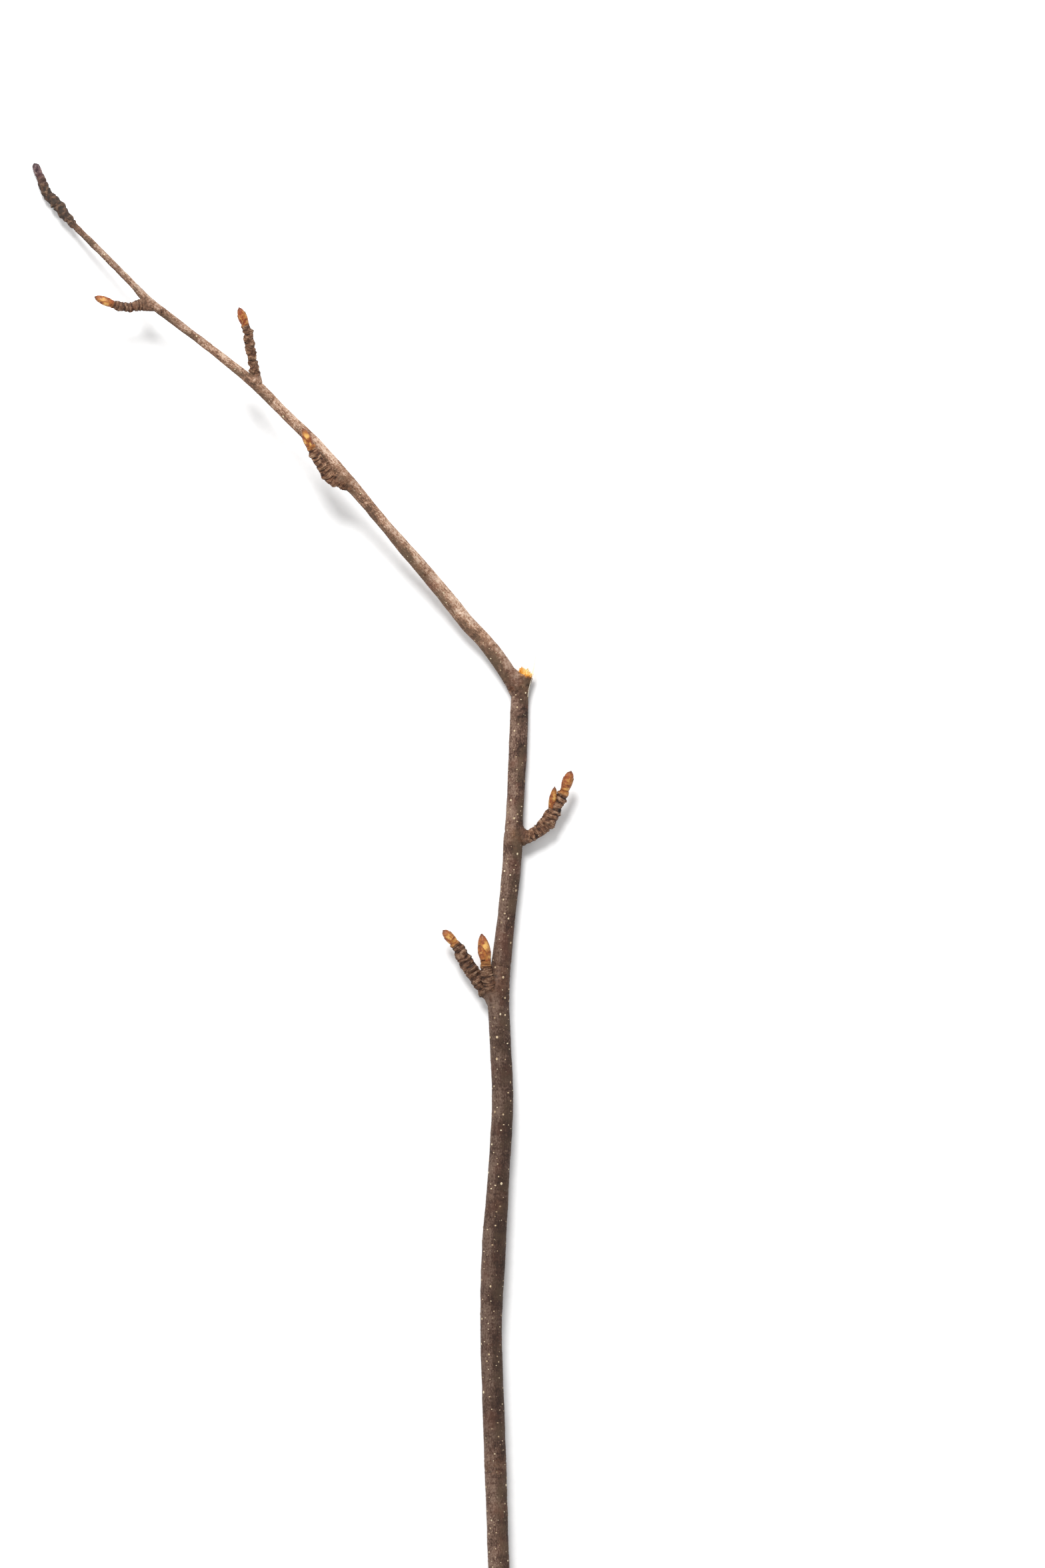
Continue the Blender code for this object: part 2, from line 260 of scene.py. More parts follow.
class Finish:
    """A procedural material, and the few kinds of node that this branch's finishes are made of."""

    def __init__(self, name, roughness=0.85):
        self.material = bpy.data.materials.new(name)
        self.material.use_nodes = True
        self.tree = self.material.node_tree
        self.shader = self.tree.nodes["Principled BSDF"]
        self.shader.inputs["Roughness"].default_value = roughness
        self.shader.inputs["Specular IOR Level"].default_value = 0.3

    def add(self, kind, settings=None, **inputs):
        made = self.tree.nodes.new(kind)
        for key, value in (settings or {}).items():
            setattr(made, key, value)
        for key, value in inputs.items():
            self.feed(made.inputs[key.replace("_", " ")], value)
        return made

    def feed(self, socket, value):
        if isinstance(value, bpy.types.NodeSocket):
            self.tree.links.new(value, socket)
        else:
            socket.default_value = value

    def attribute(self, name):
        return self.add("ShaderNodeAttribute", {"attribute_name": name})

    def where(self, name="object", scale=(1.0, 1.0, 1.0), shift=(0.0, 0.0, 0.0)):
        """A piece's attribute, or its Object coordinates, scaled and shifted along the three axes."""
        if name == "object":
            source = self.add("ShaderNodeTexCoord").outputs["Object"]
        else:
            source = self.attribute(name).outputs["Vector"]
        return self.add("ShaderNodeMapping", Vector=source, Scale=scale, Location=shift).outputs["Vector"]

    def cloud(self, vector, scale, detail=4.0):
        made = self.add("ShaderNodeTexNoise", Vector=vector, Scale=scale, Detail=detail, Roughness=0.58)
        return made.outputs["Fac"]

    def between(self, value, low, high, to_low=0.0, to_high=1.0):
        made = self.add("ShaderNodeMapRange", {"interpolation_type": "SMOOTHSTEP"})
        for index, number in enumerate((value, low, high, to_low, to_high)):
            self.feed(made.inputs[index], number)
        return made.outputs[0]

    def ramp(self, factor, *stops):
        made = self.add("ShaderNodeValToRGB", Fac=factor)
        elements = made.color_ramp.elements
        while len(elements) < len(stops):
            elements.new(0.5)
        for element, (position, code) in zip(elements, stops):
            element.position = position
            element.color = paint(code)
        return made.outputs["Color"]

    def mixed(self, factor, below, above):
        made = self.add("ShaderNodeMix", {"data_type": "RGBA"})
        for index, value in ((0, factor), (6, below), (7, above)):
            self.feed(made.inputs[index], paint(value) if isinstance(value, str) else value)
        return made.outputs[2]

    def math(self, operation, *values):
        made = self.add("ShaderNodeMath", {"operation": operation})
        for index, value in enumerate(values):
            self.feed(made.inputs[index], value)
        return made.outputs[0]

    def times(self, first, *others):
        for other in others:
            first = self.math("MULTIPLY", first, other)
        return first

    def blend(self, *shares):
        """The sum of pairs of a value and its share."""
        total = 0.0
        for value, share in shares:
            total = self.math("MULTIPLY_ADD", value, share, total)
        return total

    def coat(self, colour, height, depth, strength=0.8):
        """Gives the shader its colour, and its fine relief, depth in metres."""
        self.feed(self.shader.inputs["Base Color"], colour)
        bump = self.add("ShaderNodeBump", Height=height, Distance=depth, Strength=strength)
        self.feed(self.shader.inputs["Normal"], bump.outputs["Normal"])
        return self.material


def bark_finish():
    """Bark, from the stem's warm brown to the shoot's silvery skin, and ringed brown bark on the spurs.
    Painted light and shade: one side of each shoot is paler, and the lower stem darker.
    """
    bark = Finish("birch_bark")
    patches = bark.cloud(bark.where(), 150)
    streaks = bark.cloud(bark.where("grain", (1.0, 1.0, 0.16)), 1100)
    flecks = bark.cloud(bark.where("grain", (1.0, 1.0, 0.5)), 2600, 3)
    bands = bark.cloud(bark.where("grain", (0.3, 0.3, 1.6)), 800, 3)
    # Painted light: bark is made paler on the side of each shoot that its rings call side, as if lit from
    # there. The grain's X points to that side.
    side = bark.add("ShaderNodeSeparateXYZ", Vector=bark.where("grain")).outputs["X"]
    painted_lit_side = bark.between(bark.blend((side, 1.0), (patches, 0.003)), 0.0002, 0.0030, 0.0, 0.075)
    clouds = bark.blend((flecks, 0.42), (streaks, 0.18), (patches, 0.28), (bands, 0.12), (painted_lit_side, 1.0))
    height = bark.add("ShaderNodeSeparateXYZ", Vector=bark.where()).outputs["Y"]
    under_end = bark.between(height, *BLOTCHED_TO, 1.0, 0.0)
    at_fork = bark.times(bark.between(height, *BLOTCHED_FROM), under_end)
    spots = bark.cloud(bark.where(), 2300, 6)
    stains = bark.cloud(bark.where(), 760, 8)
    blotches = bark.blend((stains, 0.48), (spots, 0.30), (patches, 0.22), (painted_lit_side, 1.0))
    clouds = bark.blend((clouds, bark.math("SUBTRACT", 1.0, at_fork)), (blotches, at_fork))
    tone = bark.between(clouds, 0.41, 0.68)
    warm = bark.ramp(tone, (0.0, "#2c1f19"), (0.5, "#5b4236"), (1.0, "#8c7362"))
    silver = bark.ramp(tone, (0.0, "#523c2f"), (0.5, "#99745c"), (1.0, "#d2b8a3"))
    plain = bark.mixed(bark.between(height, *SILVERY_FROM), warm, silver)
    blushes = bark.cloud(bark.where(shift=(0.3, 0.1, 0.2)), 110)
    plain = bark.mixed(bark.between(blushes, 0.50, 0.66, 0.0, 0.4), plain, "#704838")
    mosses = bark.cloud(bark.where(shift=(0.7, 0.4, 0.1)), 130)
    # The moss patches are weighted towards the side away from the painted light, so they are partly painted
    # shade.
    painted_shade_side = bark.between(painted_lit_side, 0.0, 0.07, 0.75, 0.15)
    moss_and_painted_shade = bark.times(bark.between(mosses, 0.42, 0.64), painted_shade_side)
    plain = bark.mixed(moss_and_painted_shade, plain, "#5c4a39")
    cells = bark.add("ShaderNodeTexVoronoi", Vector=bark.where("grain", (1.0, 1.0, 0.8)), Scale=850.0)
    chances = bark.add("ShaderNodeSeparateColor", Color=cells.outputs["Color"])
    chosen = bark.between(chances.outputs["Red"], 0.6, 0.7)
    dots = bark.times(bark.between(cells.outputs["Distance"], 0.02, 0.20, 0.7, 0.0), chosen)
    plain = bark.mixed(dots, plain, "#c4b094")

    marks = bark.attribute("marks")
    parts = bark.add("ShaderNodeSeparateColor", Color=marks.outputs["Color"])
    lip, scar, ringed = parts.outputs["Red"], parts.outputs["Green"], parts.outputs["Blue"]
    lines = bark.cloud(bark.where("grain", (0.3, 0.3, 2.0)), 1500, 3)
    lumps = bark.cloud(bark.where(), 800)
    grit = bark.cloud(bark.where(), 3600, 2)
    # The lip mark paints ringed and fresh bark paler on its crests and darker in its grooves, as painted
    # highlight and shade; the lines, lumps and grit are its own mottling.
    age = bark.blend((lip, 0.26), (lines, 0.20), (lumps, 0.48), (grit, 0.25))
    browns = ((0.0, "#271810"), (0.3, "#543726"), (0.62, "#7c5942"), (1.0, "#a98a70"))
    old = bark.ramp(bark.between(age, 0.41, 0.79), *browns)
    rust = bark.cloud(bark.where(shift=(0.2, 0.5, 0.9)), 280)
    old = bark.mixed(bark.between(rust, 0.52, 0.66, 0.0, 0.35), old, "#6d4029")
    soot = bark.between(lumps, 0.38, 0.62, 0.9, 0.35)
    old = bark.mixed(bark.times(soot, bark.between(height, *SOOTY_FROM)), old, "#38312b")
    old = bark.mixed(bark.between(height, *MAROON_FROM, 0.0, 0.55), old, "#6b474b")
    old = bark.mixed(bark.between(scar, 0.6, 1.0, 0.0, 0.35), old, "#b39a7c")
    old = bark.mixed(bark.between(scar, 0.1, 0.45, 0.35, 0.0), old, "#46311f")
    oranges = ((0.25, "#5e3018"), (0.5, "#99602f"), (0.75, "#c08d55"))
    newest = bark.ramp(bark.blend((lip, 0.4), (lumps, 0.6)), *oranges)
    old = bark.mixed(marks.outputs["Alpha"], old, newest)
    colour = bark.mixed(ringed, plain, old)
    # Painted shade: the stem is darkened from a little below the fork downwards, and less so again near the
    # cut end.
    below = bark.between(height, *LOW_SHADE_EASED, 0.3, 1.0)
    painted_low_shade = bark.times(bark.between(height, *LOW_SHADE_FADES, 0.48, 0.0), below)
    colour = bark.mixed(painted_low_shade, colour, "#2f2019")
    colour = bark.mixed(bark.between(height, *SHADED_FROM, 0.0, 0.3), colour, "#2b2422")
    bark.feed(bark.shader.inputs["Roughness"], bark.between(tone, 0.2, 0.9, 0.9, 0.66))
    along_grain = bark.blend((flecks, 0.8), (streaks, 0.6), (lines, 0.7))
    fine = bark.blend((along_grain, bark.between(at_fork, 0.0, 1.0, 1.0, 0.35)), (grit, 0.5), (lumps, 0.6))
    return bark.coat(colour, fine, 0.00024)


stem_rings = rings_along([(x, y, lift + width / 2, width) for x, y, lift, width in MAIN_STEM], STEM_STEP)


def ring_line(lines, along, place):
    """How deep in a narrow groove round the stem a spot is, from 0 to 1: the grooves waver and fade."""
    waver = along + noise(place * 0.35) * 1.3
    near = min(abs(waver - line) for line in lines)
    kept = eased(noise(place * 0.25 + Vector((5.0, 0.0, 0.0))), -0.35, 0.1)
    return math.exp(-((near / GROOVE_HALF) ** 2)) * kept


def stem_skin(ring, angle):
    outward = outward_at(ring, angle)
    grain = grain_at(ring, angle)
    place = ring.place + outward * ring.radius
    relief, mark = plain_bark(place, grain, roughness_at(STEM_NODES, ring))
    groove = ring_line(STEM_RINGS, ring.along, place)
    place += outward * (relief - GROOVE_DEPTH * groove)
    rim = eased(ring.along + 0.6 * noise(outward * 6), 0.8, 0.2)
    # Painted shade: the lip mark is lowered in the grooves round the stem, which darkens them.
    mark = Marks(mark.lip - 0.4 * groove, 0.5, max(mark.ringed, 0.85 * groove, 0.9 * rim), rim)
    if ring.along < RIM_REACH:
        ragged = 0.2 + 0.2 * outward.x + 0.35 * noise(outward * 2.5) + 0.15 * noise(outward * 9)
        place += ring.forward * ragged * (1 - ring.along / RIM_REACH)
    if ring.along > stem_rings[-1].along - RIM_REACH:
        share = 1 - (stem_rings[-1].along - ring.along) / RIM_REACH
        place.y += CUT_SLOPE * (place.z - ring.place.z) * share
    place.z = max(place.z, 0.0)
    return place, grain, mark


birch_bark = bark_finish()
stem = bark_tube("stem_bark", stem_rings, STEM_SIDES, stem_skin)
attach(stem, "root")
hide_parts("main_stem")

# Snapped top
# The bare wood where the stem's upper part broke off: a plug of wood in the bark's open end, its fibres torn
# at different heights, with one long thin splinter and a strip of pale inner bark.
WOOD_RADIUS = 2.25  # mm
FIBRES, FIBRE_DEPTH = 260, 1.0  # how many, and mm that they start below the rim
FIBRE_TURN = 2.39996  # radians from one fibre to the next, which spreads them evenly
PLUG_DEPTH = 2.1  # mm
RIBBON_THICKNESS = 0.16  # mm, of the splinter and of the strip
wood_random = random.Random(11)


def wood_finish():
    wood = Finish("fresh_birch_wood", 0.6)
    fibres = wood.cloud(wood.where(scale=(1.0, 0.12, 1.0)), 2400)
    depth = wood.attribute("height").outputs["Fac"]
    tone = wood.blend((depth, 0.75), (fibres, 0.45))
    ambers = ((0.05, "#8f4c12"), (0.28, "#c97e22"), (0.5, "#dda045"))
    creams = ((0.75, "#e4c07a"), (0.9, "#f0dba2"), (1.0, "#f3ead6"))
    return wood.coat(wood.ramp(tone, *ambers, *creams), fibres, 0.00015)


def fibre(shape, height, foot, tip, width, low, high):
    """A tapering fibre from foot to tip. low and high are how pale its two ends are."""
    axis = tip - foot
    turn = axis.to_track_quat("Z", "Y").to_matrix().to_4x4()
    move = Matrix.Translation((foot + tip) / 2 * MM) @ turn
    made = bmesh.ops.create_cone(
        shape,
        cap_ends=True,
        segments=5,
        radius1=width * MM,
        radius2=width * 0.2 * MM,
        depth=axis.length * MM,
        matrix=move,
    )
    for corner in made["verts"]:
        share = ((corner.co / MM - foot).dot(axis)) / axis.length_squared
        corner[height] = low + (high - low) * share


def torn_at(offset):
    """How high a spot of the break is torn, from -1 to 1."""
    return noise(Vector((offset.x * 0.8, offset.z * 0.5, 3.0)))


def extruded(shape, faces, way):
    """Gives faces a thickness: moves them the given way, in mm, and returns their corners."""
    made = bmesh.ops.extrude_face_region(shape, geom=faces)
    corners = [thing for thing in made["geom"] if isinstance(thing, bmesh.types.BMVert)]
    bmesh.ops.translate(shape, verts=corners, vec=way * MM)
    return corners


top = stem_rings[0]
rise = -top.forward
wood_middle = top.place - top.side * 0.15
wood_shape = bmesh.new()
height_layer = wood_shape.verts.layers.float.new("height")
for i in range(FIBRES):
    spread = math.sqrt((i + 0.5) / FIBRES)
    offset = outward_at(top, i * FIBRE_TURN) * spread * WOOD_RADIUS
    slant = -offset.x / WOOD_RADIUS
    reach = 1.5 + 0.6 * slant + 1.5 * torn_at(offset) + wood_random.uniform(-0.7, 0.45)
    foot = wood_middle + offset - rise * FIBRE_DEPTH
    lean = Vector((wood_random.uniform(-0.3, 0.3), 0.0, wood_random.uniform(-0.3, 0.3)))
    pale = wood_random.uniform(0.6, 1.15) - 0.45 * max(slant, 0.0) - 0.2 * spread
    width = wood_random.uniform(0.2, 0.5)
    fibre(wood_shape, height_layer, foot, foot + rise * (FIBRE_DEPTH + reach) + lean, width, -0.1, pale)

# The solid wood between the fibres, with a torn upper face
plug = bmesh.ops.create_grid(wood_shape, x_segments=22, y_segments=22, size=1.0)
for corner in plug["verts"]:
    x, y = corner.co.x, corner.co.y
    offset = top.side * x * math.sqrt(1 - y * y / 2) + top.up * y * math.sqrt(1 - x * x / 2)
    offset *= WOOD_RADIUS - 0.1
    level = 1.2 - 0.25 * offset.x + 1.3 * torn_at(offset) + 0.6 * noise(offset * 2.6)
    corner[height_layer] = 0.55 + 0.5 * noise(offset * 1.5) + 0.12 * offset.x
    corner.co = (wood_middle + offset + rise * max(level, 0.3)) * MM
plug_corners = set(plug["verts"])
plug_faces = [face for face in wood_shape.faces if plug_corners.issuperset(face.verts)]
for corner in extruded(wood_shape, plug_faces, -rise * PLUG_DEPTH):
    corner[height_layer] = -0.2
bmesh.ops.recalc_face_normals(wood_shape, faces=wood_shape.faces)


def add_into(shape, part):
    """Adds a part's faces and their attributes to a larger shape."""
    carrier = bpy.data.meshes.new("part")
    part.to_mesh(carrier)
    part.free()
    shape.from_mesh(carrier)
    bpy.data.meshes.remove(carrier)


def add_ribbon(shape, place_at, pale_at):
    """A thin closed strip. place_at gives a spot of it from its share along, and across from -1 to 1."""
    ribbon = bmesh.new()
    bmesh.ops.create_grid(ribbon, x_segments=28, y_segments=5, size=0.5)
    pale_layer = ribbon.verts.layers.float.new("height")
    for corner in ribbon.verts:
        along, across = corner.co.x + 0.5, corner.co.y * 2
        corner[pale_layer] = pale_at(along)
        corner.co = (FORK + Vector(place_at(along, across))) * MM
    bmesh.ops.solidify(ribbon, geom=list(ribbon.faces), thickness=RIBBON_THICKNESS * MM)
    bmesh.ops.recalc_face_normals(ribbon, faces=ribbon.faces)
    add_into(shape, ribbon)


def splinter_at(along, across):
    half = 0.30 * (1 - along) ** 0.8 + 0.05
    waver = 0.25 * math.sin(along * 7.0) * along
    x = 4.5 + 2.1 * along + 0.5 * along**2 + waver + across * half
    return x, 0.2 + 10.8 * along, top.place.z + 0.5 + along


def bark_strip_at(along, across):
    level = top.place.z + 0.6 + across * 0.8 * (1 - 0.7 * along)
    return 5.5 - 3.6 * along + 1.5 * along**2 - 0.15 * across**2, 1.9 - 8.0 * along, level


add_ribbon(wood_shape, splinter_at, lambda along: 0.95 + 0.3 * along)
add_ribbon(wood_shape, bark_strip_at, lambda along: 1.3 - 0.35 * along)
broken_wood = finished("broken_wood", wood_shape, wood_finish())
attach(broken_wood, "root")

# Cut end
# The lower end, cut across at a slant: a disc of pale wood in its rim of bark, with a few yearly rings round
# a small dark pith. The disc stands a little proud of the bark.
DISC_DEPTH, DISC_PROUD, DISC_SHARE = 0.8, 0.12, 0.97  # mm, mm, and its radius as a share of the stem's
RING_WAVE = 38.0  # radians of the sine that draws the yearly rings
end = stem_rings[-1]


def end_grain_finish():
    wood = Finish("end_grain", 0.7)
    across = wood.attribute("across").outputs["Fac"]
    radius = wood.blend((across, 1.0), (wood.cloud(wood.where(), 500, 3), 0.06))
    rings = wood.math("SINE", wood.times(radius, RING_WAVE))
    colour = wood.ramp(wood.between(rings, -1.0, 1.0), (0.0, "#b08d5e"), (0.6, "#d9bd8b"), (1.0, "#e3cb9e"))
    colour = wood.mixed(wood.between(radius, 0.05, 0.12, 1.0, 0.0), colour, "#5a3d26")
    colour = wood.mixed(wood.between(radius, 0.90, 0.95), colour, "#6a5038")
    pores = wood.cloud(wood.where(), 6000, 2)
    colour = wood.mixed(wood.between(pores, 0.3, 0.45, 0.5, 0.0), colour, "#8a6840")
    return wood.coat(colour, pores, 0.0001)


end_shape = bmesh.new()
bmesh.ops.create_circle(end_shape, cap_ends=True, cap_tris=True, segments=STEM_SIDES, radius=1.0)
for _ in range(3):
    spokes = [edge for edge in end_shape.edges if any(corner.co.length < 1e-6 for corner in edge.verts)]
    bmesh.ops.subdivide_edges(end_shape, edges=spokes, cuts=1)
across_layer = end_shape.verts.layers.float.new("across")
for corner in end_shape.verts:
    across = corner.co.length
    rim = stem_skin(end, math.atan2(corner.co.y, corner.co.x))[0]
    corner[across_layer] = across
    proud = DISC_PROUD + 0.05 * (1 - across)
    corner.co = (end.place + (rim - end.place) * across * DISC_SHARE + end.forward * proud) * MM
extruded(end_shape, list(end_shape.faces), -end.forward * DISC_DEPTH)
bmesh.ops.recalc_face_normals(end_shape, faces=end_shape.faces)
cut_end = finished("cut_end", end_shape, end_grain_finish())
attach(cut_end, "root")

# Side shoot
# The long shoot from the main fork. Its silvery bark runs into the stem's in a smooth collar. Its last part
# is a row of ring scars, left by each year's bud scales, and rests on the ground.

# From inside the stem to the tip, in mm from the fork: x, y, height of its middle, diameter
SIDE_SHOOT = (
    (0.7, -10.0, 3.1, 2.8),
    (-0.5, -4.2, 3.2, 4.6),
    (-2.7, 0.5, 3.4, 5.3),
    (-5.6, 5.3, 3.9, 5.5),
    (-10.9, 12.2, 4.6, 5.2),
    (-16.9, 18.6, 5.8, 5.1),
    (-23.3, 26.6, 7.3, 5.0),
    (-32.2, 37.2, 9.8, 4.7),
    (-39.2, 45.2, 11.8, 4.3),
    (-45.3, 52.4, 13.3, 3.9),
    (-53.4, 62.1, 15.0, 4.2),
    (-58.0, 67.2, 15.8, 4.7),
    (-67.6, 78.4, 17.3, 4.0),
    (-76.7, 87.3, 18.3, 3.5),
    (-86.4, 97.0, 18.9, 3.6),
    (-97.1, 105.8, 18.6, 2.9),
    (-112.8, 117.9, 16.6, 2.8),
    (-122.6, 125.4, 14.3, 3.0),
    (-129.3, 132.4, 12.0, 2.3),
    (-136.1, 139.3, 9.7, 2.2),
    (-142.3, 145.5, 7.5, 2.2),
    (-147.4, 150.6, 5.6, 2.3),
    (-149.2, 152.6, 4.9, 2.8),
    (-151.6, 155.3, 4.2, 3.6),
    (-153.7, 158.3, 3.3, 3.8),
    (-157.1, 161.8, 2.1, 3.5),
    (-158.5, 165.2, 1.5, 3.2),
    (-160.0, 168.8, 1.3, 2.6),
)
# Its rough places, as on the stem
SHOOT_NODES = ((10.0, 5.0, 0.45), (60.0, 1.2, 0.5), (96.5, 3.2, 1.0), (139.0, 2.4, 0.5), (186.0, 2.6, 0.6))
SHOOT_STEP, SHOOT_SIDES = 0.26, 44
FORK_COLLAR, FORK_DEPTH = 2.6, 9.0  # mm of its collar, and mm of it inside the stem
SUNK_EDGE = 0.07  # mm that the thin edge of a collar lies under the other skin
SCARRED_END = 22.5  # mm of it that are ringed with scars
LEAF_TURN = 2.75  # radians from one leaf scar to the next
LEAF_SCAR_HALF = 0.85  # mm, half its width

# A row of ring scars: mm to the first, mm between two, how high rings and leaf cushions stand, and a seed
Scars = namedtuple("Scars", "start spacing height cushion seed")


class Wood:
    """The wood round a row of rings, for what grows from it. Its pattern starts at start, in mm."""

    def __init__(self, rings, nodes, start):
        self.rings, self.nodes, self.start = rings, nodes, start
        self.tree = KDTree(len(rings))
        for i, ring in enumerate(rings):
            self.tree.insert(ring.place, i)
        self.tree.balance()

    def nearest(self, spot):
        """The ring nearest to a spot, the way out from its middle to there, and the spot's mm along it."""
        ring = self.rings[self.tree.find(spot)[1]]
        apart = spot - ring.place
        ahead = apart.dot(ring.forward)
        return ring, apart - ring.forward * ahead, ring.along + ahead

    def distance(self, spot):
        """How far a spot is outside the wood's skin, or beyond its ends, in mm."""
        ring, outward, along = self.nearest(spot)
        aside = outward.length - ring.radius
        beyond = max(-along, along - self.rings[-1].along)
        return min(max(aside, beyond), 0.0) + math.hypot(max(aside, 0.0), max(beyond, 0.0))

    def grain(self, spot):
        ring, outward, along = self.nearest(spot)
        turn = math.atan2(outward.dot(ring.up), outward.dot(ring.side))
        return Vector((math.cos(turn) * ring.radius, math.sin(turn) * ring.radius, self.start + along))

    def roughness(self, spot):
        return roughness_at(self.nodes, self.nearest(spot)[0])


def collar(ring, outward, radius, parent, reach):
    """How far a skin moves out, in mm, to be rounded together with the skin of the wood it grows from."""
    near = parent.distance(ring.place + outward * radius)
    if near > reach or near < -2.5:
        return 0.0
    low, high = 0.0, reach * 1.4
    for _ in range(8):
        out = (low + high) / 2
        first = parent.distance(ring.place + outward * (radius + out))
        shared = max(reach - abs(first - out), 0.0)
        if min(first, out) - shared * shared / (4 * reach) < 0:
            low = out
        else:
            high = out
    return low * eased(near, -2.5, -0.8)


def rooted(ring, outward, radius, parent, reach, share):
    """Where a spot of a skin lies, rounded into its parent's with a sunk edge, and how far above that."""
    if share > 0:
        radius += share * collar(ring, outward, radius, parent, reach)
    place = ring.place + outward * radius
    above = parent.distance(place)
    return place - parent.nearest(place)[1].normalized() * SUNK_EDGE * eased(above, 0.3, 0.0), above


def ring_scars(scars, ring, angle):
    """Yearly rings on a short shoot: their height in mm, how near a lip a spot is, and its leaf scar mark.

    Each ring is an uneven bulge that ends in a narrow groove. Its leaf cushion, with a dished leaf scar,
    faces nearly opposite to the one before.
    """
    swing = Vector((math.cos(angle), math.sin(angle), 0.0))
    turns = (ring.along - scars.start) / scars.spacing
    turns += 0.2 * math.cos(angle - scars.seed - LEAF_TURN * turns)
    turns += 0.3 * noise(swing * 1.2 + Vector((0.0, 0.0, turns * 0.9 + scars.seed)))
    if turns < 0:
        return 0.0, 0.5, 0.5
    year = math.floor(turns)
    part = turns - year
    rise = math.sin(math.pi * part**1.5)
    broken = eased(noise(swing * 1.3 + Vector((0.0, year * 2.3, scars.seed))), -0.45, 0.2)
    groove = broken * math.exp(-((min(part, 1 - part) / 0.11) ** 2))
    facing = scars.seed + LEAF_TURN * (year + 0.5)
    toward = max(0.0, math.cos(angle - facing)) ** 2
    uneven = max(0.25, 0.85 + 1.1 * noise(swing * 0.8 + Vector((0.0, 0.0, year * 1.7 + scars.seed))))
    height = scars.height * uneven * (rise - 0.4 - 0.25 * groove) + scars.cushion * toward * rise
    across = abs(math.remainder(angle - facing, math.tau)) * ring.radius / LEAF_SCAR_HALF
    upward = abs(part - 0.5) / 0.3
    reach = (across**3 + upward**3) ** (1 / 3)
    rim = math.exp(-(((reach - 1.0) / 0.2) ** 2))
    dish = eased(1.0 - reach, 0.05, 0.4)
    # The lip mark is high on each bulge and low in its groove, to paint a highlight on the bulge and shade in
    # the groove.
    lip = 0.5 + uneven * (0.32 * (rise - 0.5) - 0.45 * groove)
    return height + 0.02 * rim - 0.05 * dish, lip, 0.5 + 0.4 * rim - 0.4 * dish


shoot_rings = rings_along(SIDE_SHOOT, SHOOT_STEP)
scarred_from = shoot_rings[-1].along - SCARRED_END
end_scars = Scars(scarred_from, 2.4, 0.40, 0.26, 3)
stem_wood = Wood(stem_rings, STEM_NODES, 0.0)
shoot_start = Vector((0.0, 0.0, stem_wood.grain(shoot_rings[0].place).z))


def shoot_skin(ring, angle):
    outward = outward_at(ring, angle)
    radius = ring.radius * (0.5 + 0.5 * eased(ring.along, 0.0, 3.0))
    share = eased(ring.along, FORK_DEPTH * 0.4, FORK_DEPTH * 0.9)
    place, above = rooted(ring, outward, radius, stem_wood, FORK_COLLAR, share)
    free = eased(above, 0.2, 3.0)
    grain = stem_wood.grain(place).lerp(grain_at(ring, angle) + shoot_start, free)
    rough = max(roughness_at(SHOOT_NODES, ring), stem_wood.roughness(place) * (1 - free))
    relief, mark = plain_bark(place, grain, rough)
    if ring.along > scarred_from - 1:
        height, lip, scar = ring_scars(end_scars, ring, angle)
        relief += height + cross_relief(place, grain) * 0.9 - 0.1
        grown = eased(ring.along + noise(place * 0.6), scarred_from - 1, scarred_from + 2.5)
        mark = Marks(lip, scar, max(mark.ringed, grown), 0.0)
    place += outward * relief
    place.z = max(place.z, 0.0)
    return place, grain, mark


shoot = bark_tube("side_shoot_bark", shoot_rings, SHOOT_SIDES, shoot_skin)
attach(shoot, "root")
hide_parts("side_shoot")

# Ringed spurs
# Short shoots that grow a few millimetres a year, so that leaf cushions and rings of bud-scale scars follow
# each other closely. Each is one tube of brown bark that runs into the wood it grows from.

